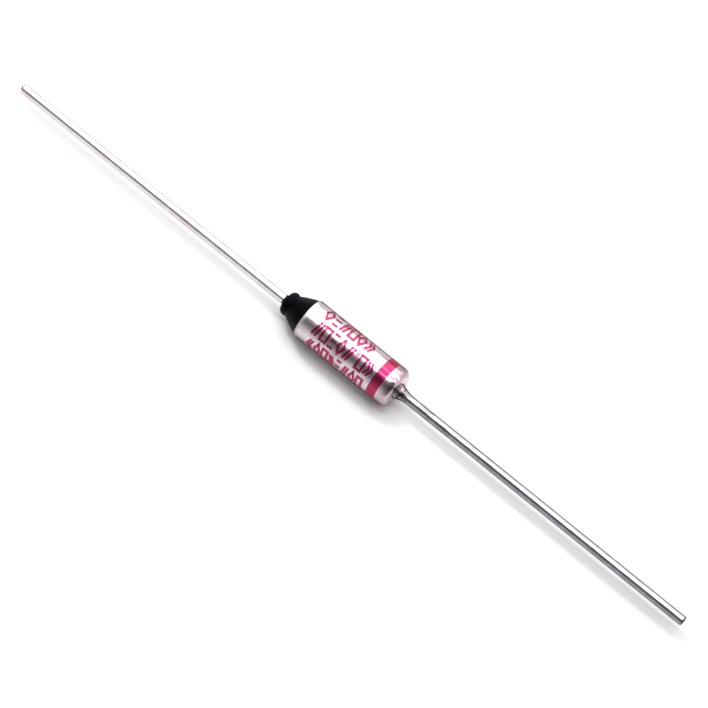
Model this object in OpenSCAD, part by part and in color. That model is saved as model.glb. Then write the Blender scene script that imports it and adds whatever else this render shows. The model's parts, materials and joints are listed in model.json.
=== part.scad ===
// Axial-lead thermal fuse of the organic-pellet kind, with the one-shot switch inside its metal case.
// The fuse lies along X: the sealed end and its contact lead point to -X, the closed end and its case lead to +X.
// The origin is on the axis, halfway along the case. Every length is in millimetres.
//
// Stack inside the case, from the sealed end: bushing, trip spring around the bushing's nose, sliding contact,
// contact disc, main spring, pellet disc, pellet. The solid pellet keeps the main spring compressed, so the
// sliding contact is held against the contact lead's head.

/* [Case] */
// Outside diameter of the drawn metal case
case_d = 4.2; // [3.7:0.1:5]
// Length of the case, from the rolled rim to the closed end
case_len = 11.1; // [10.6:0.1:14]
// Wall of the barrel
wall = 0.3; // [0.25:0.01:0.35]
// Thinned wall around the bushing, at the open end
rim_wall = 0.2; // [0.15:0.01:0.22]
// Thickness of the lip rolled over the bushing
lip_t = 0.2; // [0.15:0.01:0.3]
// How far the lip reaches in over the bushing
lip_reach = 0.45; // [0.3:0.01:0.5]
// Radius of the rolled rim's outer edge
rim_round = 0.08; // [0.05:0.01:0.18]
// Thickness of the closed end
end_wall = 0.6; // [0.5:0.05:0.8]
// Outside radius of the closed end's corner
end_round = 0.6; // [0.3:0.05:0.7]
// Inside radius of the closed end's corner
floor_round = 0.2; // [0.1:0.01:0.25]

/* [Leads] */
// Diameter of both leads
lead_d = 1; // [0.8:0.05:1.1]
// Contact lead, from the case's rim to its tip
contact_lead_len = 35.4; // [20:0.1:60]
// Case lead, from the case's closed end to its tip
case_lead_len = 34.7; // [20:0.1:60]
// Edge radius at the contact lead's tip
contact_tip_round = 0.3; // [0.05:0.01:0.35]
// Edge radius at the case lead's tip
case_tip_round = 0.08; // [0.05:0.01:0.35]
// How far the contact head stands out around the lead
head_overhang = 0.3; // [0.2:0.01:0.33]
// Height of the contact head, with its dome
head_h = 0.6; // [0.4:0.05:0.9]
// Height of the dome on the contact head
head_dome = 0.1; // [0.05:0.01:0.2]
// How far the lock collar, upset against the bushing's outer end, stands out around the lead
lock_overhang = 0.22; // [0.18:0.01:0.3]
// Straight edge of the lock collar
lock_land = 0.15; // [0.05:0.01:0.2]
// Diameter of the case lead's root collar
collar_d = 1.66; // [1.4:0.02:2.4]
// Straight edge of the root collar, against the case
collar_land = 0.1; // [0.05:0.01:0.3]
// Length over which the collar sweeps down to the lead
collar_sweep = 1.3; // [0.5:0.05:1.5]
// Diameter of the rivet shank through the closed end
rivet_d = 0.9; // [0.6:0.05:1]
// Diameter of the countersunk rivet head, inside the case
rivet_head_d = 1.6; // [1.3:0.05:1.7]
// Depth of the countersunk rivet head
rivet_head_t = 0.3; // [0.2:0.01:0.4]

/* [Resin seal] */
// How far the resin stands out of the case
seal_len = 2.65; // [2.2:0.05:4]
// Diameter of the resin's end bead
bead_d = 2.44; // [2.3:0.02:3]
// Length of the bead
bead_len = 0.62; // [0.56:0.01:0.75]
// Radius of the bead's edge
bead_round = 0.5; // [0.3:0.01:0.55]
// Diameter of the neck behind the bead
neck_d = 2.36; // [2.3:0.02:2.8]
// Distance of the neck from the resin's end
neck_from_end = 0.85; // [0.8:0.05:1.2]
// How far the cone between the neck and the case bulges
flank_bulge = 0.03; // [0.02:0.01:0.1]
// Resin over the end of the bushing
seal_cap = 0.5; // [0.3:0.05:0.8]
// Radius of the resin's rise on to the lead
meniscus = 0.2; // [0.05:0.01:0.25]

/* [Ceramic bushing] */
// Length of the bushing's collar, held under the rolled lip
bushing_collar_len = 2; // [1.5:0.05:2.3]
// Length of the nose that carries the contact head
nose_len = 1.4; // [1:0.05:1.8]
// Ceramic around the lead in the inner nose
nose_wall = 0.33; // [0.3:0.01:0.4]
// Ceramic around the lead in the outer nose
outer_nose_wall = 0.43; // [0.3:0.01:0.5]
// Chamfer on the bushing's edges
bushing_chamfer = 0.1; // [0.05:0.01:0.15]

/* [Switch] */
// Thickness of the sliding contact's sheet
contact_t = 0.15; // [0.1:0.01:0.2]
// Number of spring fingers on the sliding contact
finger_count = 8; // [5:1:10]
// Axial length of the fingers
finger_len = 0.7; // [0.4:0.05:1]
// Width of the slots between fingers
finger_slot = 0.28; // [0.15:0.01:0.4]
// Thickness of the two pressure discs
disc_t = 0.2; // [0.15:0.01:0.3]
// Length of the fusible pellet
pellet_len = 3.05; // [2.6:0.05:3.3]
// Chamfer on the pellet's edges
pellet_chamfer = 0.25; // [0.2:0.01:0.35]
// Wire diameter of the trip spring
trip_wire = 0.2; // [0.14:0.01:0.22]
// Coils of the trip spring
trip_coils = 5; // [4:0.5:6]
// Wire diameter of the main spring
main_wire = 0.36; // [0.25:0.01:0.38]
// Coils of the main spring
main_coils = 5; // [3.5:0.5:5.5]

/* [Ink band] */
// Width of the printed band round the case
band_w = 1.1; // [0.6:0.05:2]
// Bare case between the band and the closed end
band_from_end = 1.2; // [0.9:0.05:2.5]
// Thickness of the ink
ink_t = 0.02; // [0.01:0.005:0.04]

/* [Clearances] */
// Radial gap of the bushing in the case
bushing_gap = 0.02; // [0.01:0.005:0.04]
// Radial gap of the lead in the bushing
lead_gap = 0.02; // [0.01:0.005:0.04]
// Radial gap of the fingertips in the barrel
finger_gap = 0.01; // [0.005:0.005:0.03]
// Radial gap of the pressure discs in the barrel
disc_gap = 0.15; // [0.05:0.01:0.25]
// Radial gap of the pellet in the barrel
pellet_gap = 0.08; // [0.03:0.01:0.15]
// Radial gap of the trip spring round the bushing's nose
trip_gap = 0.1; // [0.05:0.01:0.12]
// Radial gap of the main spring in the barrel
main_gap = 0.3; // [0.15:0.01:0.4]
// Gap between the trip spring and the roots of the fingers
finger_root_gap = 0.12; // [0.05:0.01:0.15]
// Gap left where a spring's round wire meets its seat
spring_seat_gap = 0.01; // [0.005:0.005:0.03]

/* [Hidden] */

smooth = 96;
flank_smooth = 768;
wire_sides = 8;
rings_per_turn = 20;
closed_pitch = 1.06;
cut_margin = 0.5;

// Radii of the case
case_r = case_d / 2;
barrel_r = case_r - wall;
seat_r = case_r - rim_wall;
lip_r = seat_r - lip_reach;

// Radii on the leads and the bushing
lead_r = lead_d / 2;
head_r = lead_r + head_overhang;
lock_r = lead_r + lock_overhang;
collar_r = collar_d / 2;
rivet_r = rivet_d / 2;
rivet_head_r = rivet_head_d / 2;
bushing_bore_r = lead_r + lead_gap;
nose_r = bushing_bore_r + nose_wall;
outer_nose_r = bushing_bore_r + outer_nose_wall;

// Stations along the axis, from the contact lead's tip to the case lead's tip
rim_x = -case_len / 2;
contact_tip_x = rim_x - contact_lead_len;
seal_end_x = rim_x - seal_len;
outer_nose_x = seal_end_x + seal_cap;
lip_x = rim_x + lip_t;
ledge_x = lip_x + bushing_collar_len;
nose_x = ledge_x + nose_len;
contact_x = nose_x + head_h;
contact_disc_x = contact_x + contact_t;
main_spring_x = contact_disc_x + disc_t;
end_x = case_len / 2;
floor_x = end_x - end_wall;
pellet_x = floor_x - pellet_len;
pellet_disc_x = pellet_x - disc_t;
case_tip_x = end_x + case_lead_len;
band_x = end_x - band_from_end - band_w;

// Radii of the pieces of the switch
trip_r = nose_r + trip_gap + trip_wire / 2;
main_r = barrel_r - main_gap - main_wire / 2;
finger_root_r = trip_r + trip_wire / 2 + finger_root_gap;
finger_tip_r = barrel_r - finger_gap;
disc_r = barrel_r - disc_gap;
pellet_r = barrel_r - pellet_gap;

// Turns a profile drawn as [radius, station] round the X axis.
module turned() {
    rotate([0, 90, 0])
        rotate_extrude($fn = smooth) children();
}

// Rectangle between two radii and two stations.
module ring_profile(r0, r1, x0, x1) {
    translate([r0, x0]) square([r1 - r0, x1 - x0]);
}

// What a round takes off an outer corner at [r, x]. side is 1 for a face that looks to +X, -1 for -X.
module round_off(r, x, radius, side) {
    centre = [r - radius, x - side * radius];
    difference() {
        translate([centre[0], min(centre[1], x)]) square(radius);
        translate(centre) circle(radius, $fn = smooth);
    }
}

// What a fillet adds between a shaft of radius r and a face at x. side is the way the face looks.
module fillet(r, x, radius, side) {
    difference() {
        translate([r, min(x, x + side * radius)]) square(radius);
        translate([r + radius, x + side * radius]) circle(radius, $fn = smooth);
    }
}

// Wire with closed end coils, wound round the X axis from x0 to x1.
module coil_spring(mean_r, wire_d, coils, x0, x1) {
    rise = x1 - x0 - wire_d - 2 * spring_seat_gap;
    end_rise = wire_d * closed_pitch;
    open_rise = (rise - 2 * end_rise) / (coils - 2);
    rings = ceil(coils * rings_per_turn);
    function climb(turn) =
        min(turn, 1) * end_rise
        + min(max(turn - 1, 0), coils - 2) * open_rise
        + max(turn - coils + 1, 0) * end_rise;
    function ring_point(i, side) =
        let (
            turn = coils * i / rings,
            around = 360 * turn,
            section = 360 * side / wire_sides,
            r = mean_r + wire_d / 2 * cos(section),
            x = x0 + wire_d / 2 + spring_seat_gap + climb(turn) + wire_d / 2 * sin(section)
        )
        [x, r * cos(around), r * sin(around)];
    points = [for (i = [0:rings], side = [0:wire_sides - 1]) ring_point(i, side)];
    flanks = [
        for (i = [0:rings - 1], side = [0:wire_sides - 1])
            let (
                a = i * wire_sides + side,
                b = i * wire_sides + (side + 1) % wire_sides
            )
            each [[a, b, b + wire_sides], [a, b + wire_sides, a + wire_sides]]
    ];
    start_cap = [[for (side = [wire_sides - 1:-1:0]) side]];
    end_cap = [[for (side = [0:wire_sides - 1]) rings * wire_sides + side]];
    polyhedron(points, concat(flanks, start_cap, end_cap), convexity = 10);
}

// Drawn cup with a stepped open end, a lip rolled over the bushing and a countersunk hole in its floor.
module metal_case() {
    color([0.86, 0.85, 0.84])
        turned()
            difference() {
                ring_profile(0, case_r, rim_x, end_x);
                round_off(case_r, rim_x, rim_round, -1);
                round_off(case_r, end_x, end_round, 1);
                difference() {
                    ring_profile(0, barrel_r, ledge_x, floor_x);
                    round_off(barrel_r, floor_x, floor_round, 1);
                }
                ring_profile(0, seat_r, lip_x, ledge_x);
                ring_profile(0, lip_r, rim_x, lip_x);
                ring_profile(0, rivet_r, floor_x, end_x);
                rivet_head_profile();
            }
}

// Cone of the countersunk rivet head, shared by the lead and its seat.
module rivet_head_profile() {
    polygon([
        [0, floor_x],
        [rivet_head_r, floor_x],
        [rivet_r, floor_x + rivet_head_t],
        [0, floor_x + rivet_head_t]
    ]);
}

// Lead with a swept root collar outside the case and a rivet through its closed end.
module case_lead() {
    collar_h = collar_r - lead_r;
    sweep_x = end_x + collar_land;
    sweep_r = (collar_h * collar_h + collar_sweep * collar_sweep) / (2 * collar_h);
    color([0.78, 0.78, 0.79])
        turned()
            union() {
                rivet_head_profile();
                ring_profile(0, rivet_r, floor_x, end_x);
                ring_profile(0, collar_r, end_x, sweep_x);
                difference() {
                    ring_profile(0, collar_r, sweep_x, sweep_x + collar_sweep);
                    translate([lead_r + sweep_r, sweep_x + collar_sweep]) circle(sweep_r, $fn = smooth);
                }
                difference() {
                    ring_profile(0, lead_r, sweep_x + collar_sweep, case_tip_x);
                    round_off(lead_r, case_tip_x, case_tip_round, 1);
                }
            }
}

// Profile of the collar that locks the contact lead in the bushing, shared by the lead and the resin around it.
module lock_collar_profile() {
    polygon([
        [0, seal_end_x],
        [lead_r, seal_end_x],
        [lock_r, outer_nose_x - lock_land],
        [lock_r, outer_nose_x],
        [0, outer_nose_x]
    ]);
}

// Lead through the bushing, locked between its collar and a domed head that the sliding contact presses on.
module contact_lead() {
    dome_r = (head_r * head_r + head_dome * head_dome) / (2 * head_dome);
    color([0.88, 0.87, 0.86])
        turned()
            union() {
                difference() {
                    ring_profile(0, lead_r, contact_tip_x, nose_x);
                    round_off(lead_r, contact_tip_x, contact_tip_round, -1);
                }
                lock_collar_profile();
                intersection() {
                    ring_profile(0, head_r, nose_x, contact_x);
                    translate([0, contact_x - dome_r]) circle(dome_r, $fn = smooth);
                }
            }
}

// Black resin cone over the bushing's outer nose, with a bead at its end and a small rise on to the lead.
module resin_seal() {
    bead_r = bead_d / 2;
    base_r = case_r - rim_round;
    neck = [neck_d / 2, seal_end_x + neck_from_end];
    base = [base_r, rim_x];
    flank = norm(base - neck);
    flank_r = (flank * flank / 4 + flank_bulge * flank_bulge) / (2 * flank_bulge);
    outward = [base[1] - neck[1], neck[0] - base[0]] / flank;
    flank_centre = (neck + base) / 2 - (flank_r - flank_bulge) * outward;
    color([0.06, 0.06, 0.065])
        turned()
            difference() {
                union() {
                    polygon([
                        [0, seal_end_x],
                        [bead_r, seal_end_x],
                        [bead_r, seal_end_x + bead_len],
                        neck,
                        base,
                        [lip_r, rim_x],
                        [lip_r, lip_x],
                        [0, lip_x]
                    ]);
                    intersection() {
                        ring_profile(0, base_r, neck[1], rim_x);
                        translate(flank_centre) circle(flank_r, $fn = flank_smooth);
                    }
                    fillet(lead_r, seal_end_x, meniscus, -1);
                }
                round_off(bead_r, seal_end_x, bead_round, -1);
                ring_profile(0, outer_nose_r, outer_nose_x, lip_x);
                ring_profile(0, lead_r, seal_end_x - meniscus, seal_end_x);
                lock_collar_profile();
            }
}

// Insulator with a collar held by the rolled lip, an inner nose for the contact head and an outer nose in the resin.
module ceramic_bushing() {
    collar_out_r = seat_r - bushing_gap;
    color([0.93, 0.91, 0.86])
        turned()
            difference() {
                union() {
                    ring_profile(0, outer_nose_r, outer_nose_x, lip_x);
                    ring_profile(0, nose_r, ledge_x, nose_x);
                    polygon([
                        [0, lip_x],
                        [collar_out_r - bushing_chamfer, lip_x],
                        [collar_out_r, lip_x + bushing_chamfer],
                        [collar_out_r, ledge_x],
                        [0, ledge_x]
                    ]);
                }
                ring_profile(0, bushing_bore_r, outer_nose_x, nose_x);
            }
}

// Weak spring that opens the switch once the pellet has gone.
module trip_spring() {
    color([0.72, 0.71, 0.68])
        coil_spring(trip_r, trip_wire, trip_coils, ledge_x, contact_x);
}

// Stamped star: a flat disc with a skirt of spring fingers that slide on the barrel.
module sliding_contact() {
    slot_reach = finger_tip_r - finger_root_r + cut_margin;
    tip_x = contact_x - finger_len;
    color([0.9, 0.88, 0.84])
        difference() {
            turned()
                polygon([
                    [0, contact_x],
                    [finger_root_r, contact_x],
                    [finger_tip_r - contact_t, tip_x],
                    [finger_tip_r, tip_x],
                    [finger_root_r + contact_t, contact_disc_x],
                    [0, contact_disc_x]
                ]);
            for (i = [0:finger_count - 1])
                rotate([360 * i / finger_count, 0, 0])
                    translate([tip_x - cut_margin, -finger_slot / 2, finger_root_r])
                        cube([finger_len + contact_t + 2 * cut_margin, finger_slot, slot_reach]);
        }
}

// Flat disc that spreads a spring's load, with its near face at x.
module pressure_disc(x) {
    turned() ring_profile(0, disc_r, x, x + disc_t);
}

// Disc between the sliding contact and the main spring.
module contact_disc() {
    color([0.8, 0.68, 0.4]) pressure_disc(contact_disc_x);
}

// Strong spring, held compressed by the solid pellet.
module main_spring() {
    color([0.68, 0.68, 0.7])
        coil_spring(main_r, main_wire, main_coils, main_spring_x, pellet_disc_x);
}

// Disc between the main spring and the pellet.
module pellet_disc() {
    color([0.8, 0.68, 0.4]) pressure_disc(pellet_disc_x);
}

// Pressed tablet that melts at the rated temperature.
module thermal_pellet() {
    color([0.92, 0.9, 0.8])
        turned()
            polygon([
                [0, pellet_x],
                [pellet_r - pellet_chamfer, pellet_x],
                [pellet_r, pellet_x + pellet_chamfer],
                [pellet_r, floor_x - pellet_chamfer],
                [pellet_r - pellet_chamfer, floor_x],
                [0, floor_x]
            ]);
}

// Printed band round the barrel, near the closed end.
module ink_band() {
    color([0.55, 0.09, 0.25])
        turned() ring_profile(case_r, case_r + ink_t, band_x, band_x + band_w);
}

metal_case();
case_lead();
contact_lead();
resin_seal();
ceramic_bushing();
trip_spring();
sliding_contact();
contact_disc();
main_spring();
pellet_disc();
thermal_pellet();
ink_band();
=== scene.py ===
import json
import math

import bmesh
import bpy
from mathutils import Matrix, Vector, noise


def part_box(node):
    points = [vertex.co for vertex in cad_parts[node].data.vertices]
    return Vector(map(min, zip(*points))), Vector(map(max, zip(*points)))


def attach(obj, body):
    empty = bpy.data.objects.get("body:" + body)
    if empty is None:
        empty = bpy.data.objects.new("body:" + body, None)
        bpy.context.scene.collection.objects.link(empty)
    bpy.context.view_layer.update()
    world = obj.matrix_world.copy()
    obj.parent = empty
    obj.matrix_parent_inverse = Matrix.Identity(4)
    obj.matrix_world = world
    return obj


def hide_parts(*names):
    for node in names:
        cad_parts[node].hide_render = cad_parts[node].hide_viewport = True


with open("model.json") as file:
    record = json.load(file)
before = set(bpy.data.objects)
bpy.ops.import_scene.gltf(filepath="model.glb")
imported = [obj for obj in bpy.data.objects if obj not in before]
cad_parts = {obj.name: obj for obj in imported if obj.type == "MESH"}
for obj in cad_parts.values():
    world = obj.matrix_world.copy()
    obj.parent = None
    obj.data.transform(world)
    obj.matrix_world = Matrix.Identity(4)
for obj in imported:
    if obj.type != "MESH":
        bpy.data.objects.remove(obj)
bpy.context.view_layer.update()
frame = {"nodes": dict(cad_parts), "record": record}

# Lengths below are in metres, and MM turns millimetres into them.
MM = 0.001
TAU = 2 * math.pi

# Radii that the mounts state
mounts = {mount["name"]: mount for mount in frame["record"]["mounts"]}
CASE_R = mounts["case_barrel"]["dims"]["r_mm"] * MM
LEAD_R = mounts["contact_lead_end"]["dims"]["r_mm"] * MM

# Stations along the axis, read from the solids
RIM_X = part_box("metal_case")[0].x
END_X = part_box("metal_case")[1].x
CONTACT_TIP_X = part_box("contact_lead")[0].x
CONTACT_FACE_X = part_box("contact_lead")[1].x
FLOOR_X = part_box("case_lead")[0].x
CASE_TIP_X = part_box("case_lead")[1].x
SEAL_LOW_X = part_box("resin_seal")[0].x
LIP_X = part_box("resin_seal")[1].x
OUTER_NOSE_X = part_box("ceramic_bushing")[0].x
NOSE_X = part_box("ceramic_bushing")[1].x
BAND_LOW_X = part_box("ink_band")[0].x
BAND_HIGH_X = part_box("ink_band")[1].x

# Metal case
WALL = 0.3 * MM
RIM_WALL = 0.2 * MM
LIP_REACH = 0.45 * MM
BUSHING_COLLAR = 2 * MM
RIM_ROUND = 0.08 * MM
END_ROUND = 0.6 * MM
SHOULDER = 0.8 * MM  # how far the closed end's corner runs along the axis
FLOOR_ROUND = 0.2 * MM

# Leads
RIVET_R = 0.45 * MM
RIVET_HEAD_R = 0.8 * MM
RIVET_HEAD_T = 0.3 * MM
COLLAR_R = 0.83 * MM
COLLAR_LAND = 0.1 * MM
COLLAR_SWEEP = 1.3 * MM
CASE_TIP_ROUND = 0.08 * MM
CONTACT_TIP_ROUND = 0.3 * MM
LOCK_R = 0.72 * MM
LOCK_LAND = 0.15 * MM
HEAD_R = 0.8 * MM
HEAD_DOME = 0.1 * MM

# Resin seal
MENISCUS = 0.2 * MM
BEAD_R = 1.22 * MM
BEAD_LEN = 0.62 * MM
BEAD_ROUND = 0.5 * MM
NECK_R = 1.18 * MM
NECK_FROM_END = 0.85 * MM
FLANK_BULGE = 0.03 * MM
OUTER_NOSE_R = 0.95 * MM

# Ink
INK_T = 0.02 * MM
MARK_T = 0.014 * MM
INK_SINK = 0.004 * MM
INK_FEATHER = 0.012 * MM
STROKE = 0.26 * MM
SHARPEST_MITRE = 0.4

# Unevenness of the surfaces: its heights, and how far some of it reaches
CASE_WAVE = 0.003 * MM
CASE_LEAD_WAVE = 0.007 * MM
NEAR_BODY_WAVE = 0.006 * MM
ROOT_LUMP = 0.035 * MM
CONTACT_LEAD_WAVE = 0.0018 * MM
SEAL_LUMP = 0.03 * MM
SEAL_PIT = 0.01 * MM
NECK_PULL = 0.03 * MM
NECK_PULL_REACH = 0.35 * MM
NECK_PULL_ANGLE = math.radians(60)
BAND_RAGGED = 0.02 * MM
STROKE_RAGGED = 0.14  # a share of the stroke's width
STROKE_RAGGED_LENGTH = 0.16 * MM

# Mesh density
AROUND_CASE = 224
AROUND_LEAD = 96
ARC_STEPS = 14
TIP_STEPS = 6
DOME_STEPS = 8
NECK_STEPS = 8
FLANK_STEPS = 40
BAND_ROWS = 12
BARREL_STEP = 0.14 * MM
LEAD_STEP = 0.25 * MM
SEAL_FACE_STEP = 0.06 * MM
BEAD_STEP = 0.05 * MM
STROKE_STEP = 0.09 * MM
CREASE = 35
SEAL_CREASE = 50


def line(start, end, step):
    """Points from start to just before end, about step apart."""
    start, end = Vector(start), Vector(end)
    count = max(1, round((end - start).length / step))
    return [tuple(start.lerp(end, i / count)) for i in range(count)]


def arc(centre, radius, start, end, steps=ARC_STEPS):
    """Points of an arc in the (x, r) plane, with angles in degrees: 0 looks to +X, 90 outwards."""
    angles = [math.radians(start + (end - start) * i / steps) for i in range(steps + 1)]
    return [(centre[0] + radius * math.cos(a), centre[1] + radius * math.sin(a)) for a in angles]


def link_mesh(name, verts, faces, crease=CREASE):
    """Makes a mesh object with outward normals, smooth up to the crease angle in degrees."""
    mesh = bpy.data.meshes.new(name)
    mesh.from_pydata(verts, [], faces)
    work = bmesh.new()
    work.from_mesh(mesh)
    bmesh.ops.recalc_face_normals(work, faces=work.faces)
    work.to_mesh(mesh)
    work.free()
    mesh.shade_smooth()
    mesh.set_sharp_from_angle(angle=math.radians(crease))
    obj = bpy.data.objects.new(name, mesh)
    bpy.context.scene.collection.objects.link(obj)
    return obj


def lathe(name, profile, around, shift=None, crease=CREASE):
    """Turns a closed profile of (x, r) points round the X axis. shift(x, r, angle) says how far a point
    moves outwards. The angle is measured from straight up towards +Y."""
    verts, rings = [], []
    for x, r in profile:
        if r == 0:
            rings.append([len(verts)] * around)
            verts.append((x, 0, 0))
            continue
        rings.append(list(range(len(verts), len(verts) + around)))
        for i in range(around):
            angle = TAU * i / around
            radius = r + (shift(x, r, angle) if shift else 0)
            verts.append((x, radius * math.sin(angle), radius * math.cos(angle)))
    faces = []
    for low, high in zip(rings, rings[1:] + rings[:1]):
        for i in range(around):
            j = (i + 1) % around
            corners = list(dict.fromkeys([low[i], low[j], high[j], high[i]]))
            if len(corners) > 2:
                faces.append(corners)
    return link_mesh(name, verts, faces, crease)


def wobble(x, angle, length, turns, seed):
    """Smooth noise from -1 to 1 along the axis and round it, with features about length long."""
    place = Vector((x / length + seed, turns * math.cos(angle), turns * math.sin(angle)))
    return noise.noise(place)


def ease(value, start, end):
    """0 before start, 1 after end, smooth between them."""
    t = min(1, max(0, (value - start) / (end - start)))
    return t * t * (3 - 2 * t)


# Pieces that stand for the solids outside

def make_case():
    """The drawn cup: rolled rim, barrel, a slow corner at the closed end, and the rivet's hole."""
    seat_r = CASE_R - RIM_WALL
    barrel_r = CASE_R - WALL
    lip_r = seat_r - LIP_REACH
    ledge_x = LIP_X + BUSHING_COLLAR
    profile = [(RIM_X, lip_r)]
    profile += arc((RIM_X + RIM_ROUND, CASE_R - RIM_ROUND), RIM_ROUND, 180, 90)
    shoulder_x = END_X - SHOULDER
    profile += line((RIM_X + RIM_ROUND, CASE_R), (shoulder_x, CASE_R), BARREL_STEP)[1:]
    for run, rise in arc((0, 0), 1, 90, 0, 2 * ARC_STEPS):
        profile.append((shoulder_x + SHOULDER * run, CASE_R - END_ROUND * (1 - rise)))
    profile += [(END_X, RIVET_R), (FLOOR_X + RIVET_HEAD_T, RIVET_R), (FLOOR_X, RIVET_HEAD_R)]
    profile += arc((FLOOR_X - FLOOR_ROUND, barrel_r - FLOOR_ROUND), FLOOR_ROUND, 0, 90)
    profile += [(ledge_x, barrel_r), (ledge_x, seat_r), (LIP_X, seat_r), (LIP_X, lip_r)]

    def shift(x, r, angle):
        if r < barrel_r + WALL / 2:  # only the outside of the barrel is uneven
            return 0
        return CASE_WAVE * wobble(x, angle, length=1.6 * MM, turns=1.5, seed=3)

    return lathe("case_shell", profile, AROUND_CASE, shift)


def make_case_lead():
    """The riveted wire: head inside the case, collar that sweeps into the wire, cut tip."""
    root_x = END_X + COLLAR_LAND
    rise = COLLAR_R - LEAD_R
    sweep_r = (rise * rise + COLLAR_SWEEP * COLLAR_SWEEP) / (2 * rise)
    sweep_angle = math.degrees(math.asin(COLLAR_SWEEP / sweep_r))
    straight_x = root_x + COLLAR_SWEEP
    profile = [(FLOOR_X, 0), (FLOOR_X, RIVET_HEAD_R)]
    profile += [(FLOOR_X + RIVET_HEAD_T, RIVET_R), (END_X, RIVET_R)]
    profile += line((END_X, COLLAR_R), (root_x, COLLAR_R), COLLAR_LAND / 3)
    profile += arc((straight_x, LEAD_R + sweep_r), sweep_r, 270 - sweep_angle, 270)
    tip_x = CASE_TIP_X - CASE_TIP_ROUND
    profile += line((straight_x, LEAD_R), (tip_x, LEAD_R), LEAD_STEP)[1:]
    profile += arc((tip_x, LEAD_R - CASE_TIP_ROUND), CASE_TIP_ROUND, 90, 0, TIP_STEPS)
    profile += [(CASE_TIP_X, 0)]

    def shift(x, r, angle):
        if x < END_X or r < LEAD_R * 0.9:  # the rivet and the tip's face stay even
            return 0
        near_body = 1 - ease(x, END_X + 3 * MM, END_X + 12 * MM)
        past_face = ease(x, END_X, END_X + 0.15 * MM)
        at_root = past_face * (1 - ease(x, END_X + 0.7 * MM, END_X + 1.5 * MM))
        lumps = ROOT_LUMP * at_root * wobble(x, angle, length=0.3 * MM, turns=2.4, seed=71)
        wave = CASE_LEAD_WAVE + NEAR_BODY_WAVE * near_body
        return lumps + wave * wobble(x, angle, length=0.9 * MM, turns=1.2, seed=11)

    return lathe("case_wire", profile, AROUND_LEAD, shift)


def make_contact_lead():
    """The sealed wire: rounded tip, lock collar in the resin, domed contact head past the bushing."""
    seal_end_x = SEAL_LOW_X + MENISCUS
    dome_r = (HEAD_R * HEAD_R + HEAD_DOME * HEAD_DOME) / (2 * HEAD_DOME)
    dome_angle = math.degrees(math.asin(HEAD_R / dome_r))
    tip_x = CONTACT_TIP_X + CONTACT_TIP_ROUND
    profile = [(CONTACT_TIP_X, 0)]
    profile += arc((tip_x, LEAD_R - CONTACT_TIP_ROUND), CONTACT_TIP_ROUND, 180, 90)
    profile += line((tip_x, LEAD_R), (seal_end_x, LEAD_R), LEAD_STEP)[1:]
    profile += [(seal_end_x, LEAD_R), (OUTER_NOSE_X - LOCK_LAND, LOCK_R), (OUTER_NOSE_X, LOCK_R)]
    profile += [(OUTER_NOSE_X, LEAD_R), (NOSE_X, LEAD_R), (NOSE_X, HEAD_R)]
    profile += arc((CONTACT_FACE_X - dome_r, 0), dome_r, dome_angle, 0, DOME_STEPS)[:-1]
    profile += [(CONTACT_FACE_X, 0)]

    def shift(x, r, angle):
        if x > SEAL_LOW_X or r < LEAD_R * 0.9:  # the part in the seal and the tip's face stay even
            return 0
        return CONTACT_LEAD_WAVE * wobble(x, angle, length=1.8 * MM, turns=1.1, seed=23)

    return lathe("contact_wire", profile, AROUND_LEAD, shift)


def make_seal():
    """The resin cone: meniscus on the lead, end bead, neck, and a flank that bulges out to the rim."""
    seal_end_x = SEAL_LOW_X + MENISCUS
    base_r = CASE_R - RIM_ROUND
    lip_r = CASE_R - RIM_WALL - LIP_REACH
    neck = Vector((seal_end_x + NECK_FROM_END, NECK_R))
    base = Vector((RIM_X, base_r))
    chord = base - neck
    outward = Vector((-chord.y, chord.x)).normalized()
    face_r = LEAD_R + MENISCUS
    bead_x = seal_end_x + BEAD_ROUND
    profile = arc((SEAL_LOW_X, face_r), MENISCUS, 270, 360, TIP_STEPS)
    profile += line((seal_end_x, face_r), (seal_end_x, BEAD_R - BEAD_ROUND), SEAL_FACE_STEP)[1:]
    profile += arc((bead_x, BEAD_R - BEAD_ROUND), BEAD_ROUND, 180, 90)
    profile += line((bead_x, BEAD_R), (seal_end_x + BEAD_LEN, BEAD_R), BEAD_STEP)[1:]
    for i in range(NECK_STEPS):
        t = i / NECK_STEPS
        x = seal_end_x + BEAD_LEN + (neck.x - seal_end_x - BEAD_LEN) * t
        profile.append((x, BEAD_R + (NECK_R - BEAD_R) * ease(t, 0, 1)))
    for i in range(FLANK_STEPS + 1):
        t = i / FLANK_STEPS
        place = neck.lerp(base, t) + outward * FLANK_BULGE * 4 * t * (1 - t)
        profile.append((place.x, min(place.y, base_r)))
    profile += [(RIM_X, lip_r), (LIP_X, lip_r), (LIP_X, OUTER_NOSE_R), (OUTER_NOSE_X, OUTER_NOSE_R)]
    profile += [(OUTER_NOSE_X, LOCK_R), (OUTER_NOSE_X - LOCK_LAND, LOCK_R), (seal_end_x, LEAD_R)]

    def shift(x, r, angle):
        if x > RIM_X - 0.02 * MM or r < face_r:  # what meets the case and the lead stays even
            return 0
        free = ease(r, face_r, BEAD_R) * (1 - ease(x, RIM_X - 0.6 * MM, RIM_X))
        at_neck = math.exp(-(((x - neck.x) / NECK_PULL_REACH) ** 2))
        pull = NECK_PULL * at_neck * (0.5 + 0.5 * math.cos(angle - NECK_PULL_ANGLE))
        lumps = SEAL_LUMP * wobble(x, angle, length=1.1 * MM, turns=1.3, seed=41)
        pits = SEAL_PIT * wobble(x, angle, length=0.45 * MM, turns=2.6, seed=57)
        return free * (lumps + pits - pull)

    return lathe("resin_cap", profile, AROUND_CASE, shift, SEAL_CREASE)


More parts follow.
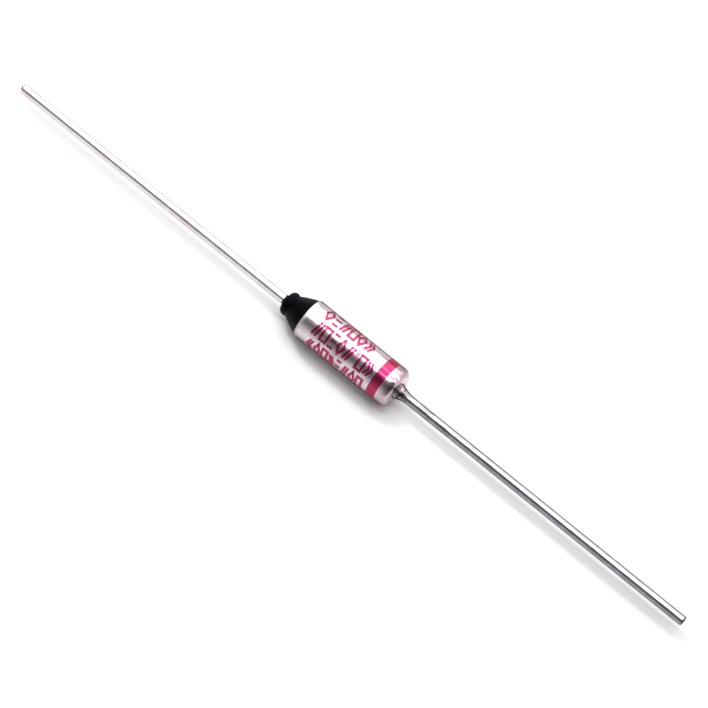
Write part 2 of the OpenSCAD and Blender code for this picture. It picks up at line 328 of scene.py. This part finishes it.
def make_band():
    """The printed ring, a thin closed solid with slightly ragged edges."""
    low_r, high_r = CASE_R - INK_SINK, CASE_R + INK_T
    verts, faces = [], []
    for i in range(AROUND_CASE):
        angle = TAU * i / AROUND_CASE
        low_edge = BAND_LOW_X + BAND_RAGGED * (1 + wobble(0, angle, length=MM, turns=9, seed=5))
        high_edge = BAND_HIGH_X - BAND_RAGGED * (1 + wobble(0, angle, length=MM, turns=9, seed=8))
        loop = [(low_edge, low_r)]
        for row in range(BAND_ROWS + 1):
            x = low_edge + INK_FEATHER + (high_edge - low_edge - 2 * INK_FEATHER) * row / BAND_ROWS
            loop.append((x, high_r))
        loop.append((high_edge, low_r))
        verts += [(x, r * math.sin(angle), r * math.cos(angle)) for x, r in loop]
    size = BAND_ROWS + 3
    for i in range(AROUND_CASE):
        a, b = i * size, ((i + 1) % AROUND_CASE) * size
        faces += [(a + k, a + (k + 1) % size, b + (k + 1) % size, b + k) for k in range(size)]
    return link_mesh("printed_band", verts, faces)


# Printed marks: plain shapes in three rows round the case

def ribbon(path, width, closed):
    """Left and right edges of a stroke that follows path, with mitred corners."""
    points = [Vector(p) for p in path]
    count = len(points)
    left, right = [], []
    for i, point in enumerate(points):
        before = points[(i - 1) % count] if closed or i > 0 else None
        after = points[(i + 1) % count] if closed or i < count - 1 else None
        ways = []
        if before is not None:
            ways.append((point - before).normalized())
        if after is not None:
            ways.append((after - point).normalized())
        along = sum(ways, Vector((0, 0))).normalized()
        across = Vector((-along.y, along.x))
        side = Vector((-ways[0].y, ways[0].x))
        rough = noise.noise(Vector((point.x, point.y, width)) / STROKE_RAGGED_LENGTH)
        reach = (1 + STROKE_RAGGED * rough) * width / 2 / max(SHARPEST_MITRE, across.dot(side))
        left.append(point + across * reach)
        right.append(point - across * reach)
    return left, right


def subdivided(path, closed):
    """The path with points added about STROKE_STEP apart."""
    points = [Vector(p) for p in path]
    ends = points[1:] + points[:1] if closed else points[1:]
    made = []
    for start, end in zip(points, ends):
        made += [Vector(p) for p in line(start, end, STROKE_STEP)]
    if not closed:
        made.append(points[-1])
    return made


def add_stroke(verts, faces, path, place, width, closed):
    """Adds a raised stroke, a closed solid on the case. place turns its points into (x, angle)."""
    top_r, low_r = CASE_R + MARK_T, CASE_R - INK_SINK
    left, right = ribbon(subdivided(path, closed), width, closed)
    first = len(verts)
    for a, b in zip(left, right):
        for edge, r in ((a, top_r), (b, top_r), (b, low_r), (a, low_r)):
            x, angle = place(edge)
            verts.append((x, r * math.sin(angle), r * math.cos(angle)))
    count = len(left)
    for i in range(count if closed else count - 1):
        a, b = first + 4 * i, first + 4 * ((i + 1) % count)
        faces += [(a + k, a + (k + 1) % 4, b + (k + 1) % 4, b + k) for k in range(4)]
    if not closed:
        faces.append([first + k for k in range(4)])
        faces.append([first + 4 * (count - 1) + k for k in range(4)])


# Each shape is a list of (points, closed, stroke factor) in a box about 1 wide and 1 high, whose origin is
# the middle of its left edge.
DIAMOND = [([(0.5, -0.5), (1, 0), (0.5, 0.5), (0, 0)], True, 1)]
SQUARE = [([(0, -0.46), (0.95, -0.46), (0.95, 0.46), (0, 0.46)], True, 1)]
SLASHES = [([(0, -0.5), (0.45, 0.5)], False, 1), ([(0.5, -0.5), (0.95, 0.5)], False, 1)]
DASHES = [([(0, v), (0.9, v)], False, 1) for v in (-0.46, 0, 0.46)]
FORWARD = [([(u, -0.45), (u + 0.45, 0), (u, 0.45)], False, 1) for u in (0, 0.5)]
BACKWARD = [([(u + 0.45, -0.45), (u, 0), (u + 0.45, 0.45)], False, 1) for u in (0, 0.5)]
TILE = [([(0, 0.3), (0.4, 0.3)], False, 1.6)]

# Rows: angle from straight up towards +Y in degrees, start along X, width of the shapes, and the shapes
ROWS = [
    (34.7, -4.05 * MM, 0.74 * MM, [DIAMOND, DASHES, SLASHES, SQUARE, DIAMOND, FORWARD]),
    (-19.3, -3.98 * MM, 0.7 * MM, [SLASHES, SQUARE, DASHES, DIAMOND, SLASHES, TILE, SQUARE, FORWARD]),
    (-72.3, -3.9 * MM, 0.6 * MM, [BACKWARD, DIAMOND, SQUARE, FORWARD, DASHES, SLASHES, DIAMOND, SQUARE]),
]
MARK_HEIGHT = 1.5 * MM
MARK_GAP = 0.27 * MM


def make_marks():
    """The rows of printed shapes, as one piece."""
    verts, faces = [], []
    for degrees, start_x, width, shapes in ROWS:
        x = start_x
        for shape in shapes:

            def place(point, x=x, degrees=degrees):
                return x + point.x, math.radians(degrees) + point.y / CASE_R

            for path, closed, factor in shape:
                sized = [(u * width, v * MARK_HEIGHT) for u, v in path]
                add_stroke(verts, faces, sized, place, STROKE * factor, closed)
            x += max(u for path, closed, factor in shape for u, v in path) * width + MARK_GAP
    return link_mesh("printed_marks", verts, faces)


# Materials. Noise scales are features per metre, and a stretch under 1 makes features longer that way.

EVEN = (1, 1, 1)
STREAKY = (0.5, 1, 1)
ALONG = (0.08, 1, 1)
MOTTLE = 1500
GRAIN = 9000
WHITE = (1, 1, 1)


def new_material(name, metallic=0.0):
    """A material with its node tree and its shader."""
    made = bpy.data.materials.new(name)
    made.use_nodes = True
    shader = made.node_tree.nodes["Principled BSDF"]
    shader.inputs["Metallic"].default_value = metallic
    return made, made.node_tree, shader


def node(tree, kind, **values):
    """A new node with some of its properties set."""
    made = tree.nodes.new(kind)
    for key, value in values.items():
        setattr(made, key, value)
    return made


def noise_value(tree, scale, detail, stretch=EVEN):
    """Noise from 0 to 1 in the object's own coordinates."""
    place = node(tree, "ShaderNodeTexCoord")
    mapping = node(tree, "ShaderNodeMapping")
    mapping.inputs["Scale"].default_value = stretch
    made = node(tree, "ShaderNodeTexNoise")
    made.inputs["Scale"].default_value = scale
    made.inputs["Detail"].default_value = detail
    tree.links.new(place.outputs["Object"], mapping.inputs["Vector"])
    tree.links.new(mapping.outputs["Vector"], made.inputs["Vector"])
    return made.outputs["Fac"]


def ramp(tree, value, stops):
    """Colour from a value, through (position, colour) stops."""
    made = node(tree, "ShaderNodeValToRGB")
    elements = made.color_ramp.elements
    while len(elements) < len(stops):
        elements.new(0.5)
    for element, (position, colour) in zip(elements, stops):
        element.position = position
        element.color = (*colour, 1)
    tree.links.new(value, made.inputs["Fac"])
    return made.outputs["Color"]


def spread(tree, value, low, high, start=0.3, end=0.7):
    """A value from start to end, mapped to low to high."""
    made = node(tree, "ShaderNodeMapRange")
    for key, number in (("From Min", start), ("From Max", end), ("To Min", low), ("To Max", high)):
        made.inputs[key].default_value = number
    tree.links.new(value, made.inputs["Value"])
    return made.outputs["Result"]


def combine(tree, operation, first, second=None):
    """A math node's result, from links or plain numbers."""
    made = node(tree, "ShaderNodeMath", operation=operation)
    for socket, value in zip(made.inputs, (first, second)):
        if isinstance(value, (int, float)):
            socket.default_value = value
        elif value is not None:
            tree.links.new(value, socket)
    return made.outputs["Value"]


def bump(tree, shader, layers):
    """Raises the surface by (value, height) layers."""
    before = None
    for value, height in layers:
        made = node(tree, "ShaderNodeBump")
        made.inputs["Strength"].default_value = 1
        made.inputs["Distance"].default_value = height
        tree.links.new(value, made.inputs["Height"])
        if before is not None:
            tree.links.new(before, made.inputs["Normal"])
        before = made.outputs["Normal"]
    tree.links.new(before, shader.inputs["Normal"])


def metal(name, dark, light, rough, grain, stretch, edge, height):
    """Plated metal: mottled colour and roughness over a fine grain."""
    made, tree, shader = new_material(name, metallic=1.0)
    mottle = noise_value(tree, MOTTLE, 5)
    fine = noise_value(tree, grain, 4, stretch)
    tree.links.new(ramp(tree, mottle, [(0.3, dark), (0.7, light)]), shader.inputs["Base Color"])
    tree.links.new(spread(tree, fine, *rough), shader.inputs["Roughness"])
    shader.inputs["Specular Tint"].default_value = (*edge, 1)
    bump(tree, shader, [(mottle, height), (fine, height / 4)])
    return made


def along_axis(tree):
    """The X coordinate of the object, in metres."""
    place = node(tree, "ShaderNodeTexCoord")
    parts = node(tree, "ShaderNodeSeparateXYZ")
    tree.links.new(place.outputs["Object"], parts.inputs["Vector"])
    return parts.outputs["X"]


def tint(tree, shader, colour, share=None):
    """Multiplies the base colour by another colour, fully or by a share."""
    blend = node(tree, "ShaderNodeMix", data_type="RGBA", blend_type="MULTIPLY")
    blend.inputs["Factor"].default_value = 1
    if share is not None:
        tree.links.new(share, blend.inputs["Factor"])
    colours = [socket for socket in blend.inputs if socket.type == "RGBA"]
    tree.links.new(shader.inputs["Base Color"].links[0].from_socket, colours[0])
    tree.links.new(colour, colours[1])
    mixed = [socket for socket in blend.outputs if socket.type == "RGBA"][0]
    tree.links.new(mixed, shader.inputs["Base Color"])


def roughen(tree, shader, added):
    """Adds to the roughness."""
    before = shader.inputs["Roughness"].links[0].from_socket
    tree.links.new(combine(tree, "ADD", before, added), shader.inputs["Roughness"])


def case_plate():
    """Plating of the case: stained, scuffed at the rim, darker and rosier past the band as painted shade,
    with a shiny face at the closed end.
    """
    plain_edge, shiny_edge = (0.25, 0.2, 0.22), (1, 0.95, 0.95)
    made = metal("silver_plate", (0.44, 0.402, 0.414), (0.522, 0.481, 0.493), (0.12, 0.2), GRAIN, EVEN,
                 plain_edge, 0.0016 * MM)
    tree = made.node_tree
    shader = tree.nodes["Principled BSDF"]
    along = along_axis(tree)

    at_end = spread(tree, along, 0, 1, END_X - 0.6 * MM, END_X - 0.1 * MM)
    edge = ramp(tree, at_end, [(0, plain_edge), (1, shiny_edge)])
    tree.links.new(edge, shader.inputs["Specular Tint"])

    # Past the band the plating turns darker and rosier, and paler again at the end face. This is painted
    # shade for the shadowed floor that this end mirrors.
    past_band = spread(tree, along, 0, 1, BAND_HIGH_X, END_X)
    shade_rose, pale_rose = (0.8, 0.69, 0.71), (1, 0.91, 0.92)
    end_painted_shade = [(0, WHITE), (0.15, shade_rose), (0.75, shade_rose), (1, pale_rose)]
    tint(tree, shader, ramp(tree, past_band, end_painted_shade))
    stain = noise_value(tree, 700, 5, STREAKY)
    tint(tree, shader, ramp(tree, stain, [(0.4, (0.84, 0.8, 0.82)), (0.56, WHITE)]))

    roughen(tree, shader, spread(tree, along, 0.34, 0, RIM_X + 0.12 * MM, RIM_X + 0.45 * MM))
    return made


def contact_lead_plate():
    """Plating of the contact lead, with rosy stains along it."""
    made = metal("silver_lead", (0.55, 0.542, 0.535), (0.64, 0.63, 0.622), (0.16, 0.26), GRAIN, ALONG,
                 (0.01, 0.008, 0.008), 0.001 * MM)
    tree = made.node_tree
    shader = tree.nodes["Principled BSDF"]
    stain = noise_value(tree, 120, 4)
    tint(tree, shader, ramp(tree, stain, [(0.5, WHITE), (0.66, (0.96, 0.86, 0.89))]))
    return made


def case_lead_plate():
    """Plating of the case lead: blotched and rosy at its riveted root, with faint specks beyond it."""
    made = metal("tin_lead", (0.21, 0.21, 0.217), (0.292, 0.291, 0.3), (0.12, 0.24), GRAIN, ALONG,
                 (0.1, 0.1, 0.1), 0.002 * MM)
    tree = made.node_tree
    shader = tree.nodes["Principled BSDF"]
    along = along_axis(tree)
    near_body = spread(tree, along, 1, 0, END_X + 4 * MM, END_X + 16 * MM)
    speck = noise_value(tree, 1700, 4, STREAKY)
    tint(tree, shader, ramp(tree, speck, [(0.4, (0.7, 0.69, 0.7)), (0.5, WHITE)]), near_body)
    at_root = spread(tree, along, 1, 0, END_X + 0.6 * MM, END_X + 1.6 * MM)
    blotch = noise_value(tree, 2400, 3)
    blotches = ramp(tree, blotch, [(0.42, (0.25, 0.22, 0.23)), (0.52, (1.0, 0.88, 0.9))])
    tint(tree, shader, blotches, at_root)
    roughen(tree, shader, combine(tree, "MULTIPLY", at_root, 0.12))
    return made


def ink():
    """Thin glossy ink that lets the metal glow through."""
    made, tree, shader = new_material("crimson_ink", metallic=0.94)
    body = noise_value(tree, 2600, 5)
    grain = noise_value(tree, GRAIN, 3)
    colour = ramp(tree, body, [(0.3, (0.225, 0.006, 0.045)), (0.7, (0.3, 0.011, 0.072))])
    tree.links.new(colour, shader.inputs["Base Color"])
    tree.links.new(spread(tree, grain, 0.12, 0.2), shader.inputs["Roughness"])
    shader.inputs["Specular IOR Level"].default_value = 0.1
    shader.inputs["Specular Tint"].default_value = (0.35, 0.02, 0.11, 1)
    shader.inputs["Coat Weight"].default_value = 0.45
    shader.inputs["Coat Roughness"].default_value = 0.04
    bump(tree, shader, [(body, 0.004 * MM), (grain, 0.0015 * MM)])
    return made


def resin():
    """Cured black resin: satin skin, a brown cast in places, small pits."""
    made, tree, shader = new_material("black_resin")
    cast = noise_value(tree, 900, 4)
    skin = noise_value(tree, 5200, 5)
    colour = ramp(tree, cast, [(0.35, (0.0003, 0.0003, 0.001)), (0.7, (0.0014, 0.001, 0.0013))])
    tree.links.new(colour, shader.inputs["Base Color"])
    tree.links.new(spread(tree, skin, 0.4, 0.55), shader.inputs["Roughness"])
    shader.inputs["Specular IOR Level"].default_value = 0.07
    shader.inputs["Specular Tint"].default_value = (0.3, 0.3, 0.36, 1)
    bump(tree, shader, [(cast, 0.03 * MM), (skin, 0.003 * MM)])
    return made


def powder(name, dark, light, rough, grain, height):
    """Fired or pressed powder: speckled and matt."""
    made, tree, shader = new_material(name)
    speckle = noise_value(tree, grain, 6)
    tree.links.new(ramp(tree, speckle, [(0.35, dark), (0.65, light)]), shader.inputs["Base Color"])
    tree.links.new(spread(tree, speckle, *rough), shader.inputs["Roughness"])
    bump(tree, shader, [(speckle, height)])
    return made


MATERIALS = {
    "silver_plate": case_plate(),
    "silver_lead": contact_lead_plate(),
    "tin_lead": case_lead_plate(),
    "crimson_ink": ink(),
    "black_resin": resin(),
    "white_ceramic": powder("white_ceramic", (0.78, 0.75, 0.69), (0.88, 0.86, 0.82),
                            (0.5, 0.7), 7000, 0.003 * MM),
    "pellet": powder("pellet", (0.72, 0.67, 0.53), (0.86, 0.83, 0.73),
                     (0.7, 0.9), 5000, 0.01 * MM),
    "spring_steel": metal("spring_steel", (0.42, 0.42, 0.43), (0.56, 0.56, 0.57),
                          (0.2, 0.34), 12000, EVEN, (0.8, 0.8, 0.8), 0.001 * MM),
    "contact_silver": metal("contact_silver", (0.78, 0.77, 0.74), (0.88, 0.87, 0.85),
                            (0.2, 0.32), GRAIN, EVEN, (0.9, 0.9, 0.9), 0.001 * MM),
    "disc_brass": metal("disc_brass", (0.62, 0.45, 0.2), (0.76, 0.58, 0.3),
                        (0.24, 0.36), GRAIN, EVEN, (0.9, 0.85, 0.7), 0.001 * MM),
}


def dress(piece, slot):
    """Gives a piece the material of its slot."""
    piece.data.materials.clear()
    piece.data.materials.append(MATERIALS[slot])


for piece, solid, slot in (
    (make_case(), "metal_case", "silver_plate"),
    (make_case_lead(), "case_lead", "tin_lead"),
    (make_contact_lead(), "contact_lead", "silver_lead"),
    (make_seal(), "resin_seal", "black_resin"),
    (make_band(), "ink_band", "crimson_ink"),
):
    dress(piece, slot)
    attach(piece, "root")
    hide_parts(solid)

marks = make_marks()
dress(marks, "crimson_ink")
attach(marks, "root")

for subpart in frame["record"]["subparts"]:
    solid = frame["nodes"][subpart["node"]]
    if not solid.hide_render:
        dress(solid, subpart["material_slot"])


# Floor. Its colour darkens from the contact lead's tip to the case lead's tip. This is painted shade for
# light that falls off that way, so that the case lead's shadow shows more.

FLOOR_REACH = 2.5
FLOOR_SHADE_AT_CONTACT_TIP = (0.78, 0.78, 0.78)
FLOOR_SHADE_AT_CASE_TIP = (0.59, 0.59, 0.59)
floor_z = -(CASE_R + INK_T)
floor = link_mesh(
    "floor",
    [(-FLOOR_REACH, -FLOOR_REACH, floor_z), (FLOOR_REACH, -FLOOR_REACH, floor_z),
     (FLOOR_REACH, FLOOR_REACH, floor_z), (-FLOOR_REACH, FLOOR_REACH, floor_z)],
    [(0, 1, 2, 3)],
)
floor_material, floor_tree, floor_shader = new_material("floor")
# Painted shade: the floor's colour runs darker from the contact lead's tip to the case lead's tip.
floor_shade_share = spread(floor_tree, along_axis(floor_tree), 0, 1, CONTACT_TIP_X, CASE_TIP_X)
floor_painted_shade = ramp(floor_tree, floor_shade_share, [(0, FLOOR_SHADE_AT_CONTACT_TIP), (1, FLOOR_SHADE_AT_CASE_TIP)])
floor_tree.links.new(floor_painted_shade, floor_shader.inputs["Base Color"])
floor_shader.inputs["Roughness"].default_value = 1
floor_shader.inputs["Specular IOR Level"].default_value = 0
floor.data.materials.append(floor_material)


# Light: a dim tent, a broad lamp overhead, a strip with two bright bars that the barrel mirrors, and a
# small key that throws the shadow. Each is a list of (angle, level) and one of (side, share). Angles are
# in degrees from straight up towards +Y, and a side is the X part of a direction.

TENT = [
    (-180, 0.8), (-90, 1.28), (-80, 1.3), (-72, 1.13), (-60, 0.75), (-49, 0.45), (-40, 0.3),
    (-32, 0.27), (-27, 0.295), (-21, 0.41), (-16, 0.56), (-11, 0.8), (84, 0.7), (90, 0.5), (180, 0.8),
]
TENT_SIDE = [(-0.9, 0.1), (-0.8, 0.2), (-0.7, 1), (-0.2, 1), (-0.1, 0.86), (0.1, 0.68), (0.6, 0.36)]
BROAD = [(-12, 0), (-6, 0.6), (-3, 2.1), (28, 2.1), (34, 0)]
BROAD_SIDE = [(-0.55, 0), (-0.42, 1), (0.42, 1), (0.6, 0.7), (0.75, 0.45), (1, 0.3)]
STRIP = [
    (-3, 0), (-1, 9.5), (3.5, 9.5), (6, 0), (28, 0), (30.5, 9.5), (35, 9.5), (37.5, 2.8), (62, 2.8),
    (76, 2.6), (82, 1.3), (87, 0.2), (90, 0),
]
STRIP_SIDE = [(-0.5, 0), (-0.4, 1), (0.1, 1), (0.4, 0.6), (0.9, 0.4)]
KEY = [(13, 0), (16, 41), (23, 41), (27, 0)]
KEY_SIDE = [(-0.62, 0), (-0.58, 1), (-0.42, 1), (-0.38, 0)]
SLANT = 20  # degrees by which the lamp and the strip turn between the two sides below
SLANT_SIDES = (-0.15, 0.6)
COOL = (0.98, 0.945, 1)
WHITISH = (0.975, 0.975, 1)


def by_value(tree, value, stops):
    """A grey level from (value, level) stops."""
    low, high = stops[0][0], stops[-1][0]
    share = spread(tree, value, 0, 1, low, high)
    return ramp(tree, share, [((stop - low) / (high - low), (level,) * 3) for stop, level in stops])


def light(tree, angle, side, angles, sides, colour):
    """A background as bright as its angle and side say."""
    peak = max(level for stop, level in angles)
    level = by_value(tree, angle, [(stop, level / peak) for stop, level in angles])
    level = combine(tree, "MULTIPLY", level, by_value(tree, side, sides))
    made = node(tree, "ShaderNodeBackground")
    made.inputs["Color"].default_value = (*colour, 1)
    tree.links.new(combine(tree, "MULTIPLY", level, peak), made.inputs["Strength"])
    return made.outputs["Background"]


world = bpy.data.worlds.new("studio")
world.use_nodes = True
bpy.context.scene.world = world
sky = world.node_tree
direction = node(sky, "ShaderNodeTexCoord")
parts = node(sky, "ShaderNodeSeparateXYZ")
sky.links.new(direction.outputs["Generated"], parts.inputs["Vector"])
side = parts.outputs["X"]
turn = combine(sky, "ARCTAN2", parts.outputs["Y"], parts.outputs["Z"])
turn = combine(sky, "DEGREES", turn)
slanted = combine(sky, "SUBTRACT", turn, spread(sky, side, 0, SLANT, *SLANT_SIDES))
total = light(sky, turn, side, TENT, TENT_SIDE, COOL)
for angle, angles, sides, colour in (
    (slanted, BROAD, BROAD_SIDE, WHITISH),
    (slanted, STRIP, STRIP_SIDE, WHITE),
    (turn, KEY, KEY_SIDE, WHITE),
):
    both = node(sky, "ShaderNodeAddShader")
    sky.links.new(total, both.inputs[0])
    sky.links.new(light(sky, angle, side, angles, sides, colour), both.inputs[1])
    total = both.outputs["Shader"]
sky.nodes.remove(sky.nodes["Background"])
sky.links.new(total, sky.nodes["World Output"].inputs["Surface"])


# Camera. Its angles, view width and aim are fitted to the photo.

AZIMUTH = math.radians(40.42)
ELEVATION = math.radians(71.5)
DISTANCE = 1.0
VIEW_WIDTH = 66.184 * MM
AIM_RIGHT = 0.113 * MM
AIM_UP = 0.039 * MM
SENSOR = 36
CLIP_START, CLIP_END = 0.05, 20

back = Vector((
    math.cos(ELEVATION) * math.sin(AZIMUTH),
    -math.cos(ELEVATION) * math.cos(AZIMUTH),
    math.sin(ELEVATION),
))
right = Vector((math.cos(AZIMUTH), math.sin(AZIMUTH), 0))
up = back.cross(right)
camera = bpy.data.objects.new("camera", bpy.data.cameras.new("camera"))
camera.data.sensor_width = SENSOR
camera.data.lens = SENSOR * DISTANCE / VIEW_WIDTH
camera.data.clip_start = CLIP_START
camera.data.clip_end = CLIP_END
camera.location = right * AIM_RIGHT + up * AIM_UP + back * DISTANCE
camera.rotation_mode = "QUATERNION"
camera.rotation_quaternion = (-back).to_track_quat("-Z", "Y")
bpy.context.scene.collection.objects.link(camera)
bpy.context.scene.camera = camera
bpy.context.scene.view_settings.view_transform = "Standard"
